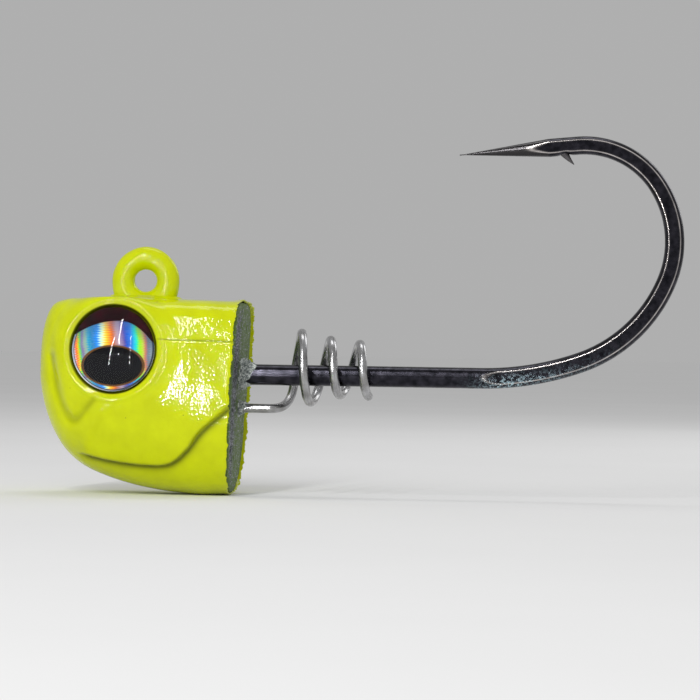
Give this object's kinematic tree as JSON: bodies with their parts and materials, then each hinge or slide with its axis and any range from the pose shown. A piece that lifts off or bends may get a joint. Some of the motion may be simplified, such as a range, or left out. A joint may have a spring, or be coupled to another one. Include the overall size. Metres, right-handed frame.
{
  "type": "jig head",
  "caption": "Painted lead fishing jig head with 3-D eyes, a line-tie ring, a forged barbed hook and a corkscrew wire keeper that holds a soft bait.",
  "frame": {"origin": "on the shank's axis, where the shank leaves the head's rear face", "axes": "+X along the shank towards the bend, +Z towards the line tie and the hook point, +Y to the fish's left side"},
  "size_m": [0.0614, 0.0152, 0.0347],
  "materials": {
    "lead": "bare lead alloy, file marks",
    "powder_coat": "glossy chartreuse powder coat, orange peel",
    "black_nickel": "black nickel plating",
    "stainless_wire": "drawn stainless wire",
    "adhesive": "pressure-sensitive glue film",
    "holographic_foil": "prismatic printed foil",
    "clear_resin": "clear epoxy"
  },
  "bodies": {
    "root": {"head_casting": "lead", "paint_coat": "powder_coat", "hook": "black_nickel", "keeper": "stainless_wire", "eye_adhesive_left": "adhesive", "eye_adhesive_right": "adhesive", "eye_foil_left": "holographic_foil", "eye_foil_right": "holographic_foil", "eye_dome_left": "clear_resin", "eye_dome_right": "clear_resin"}
  },
  "joints": []
}
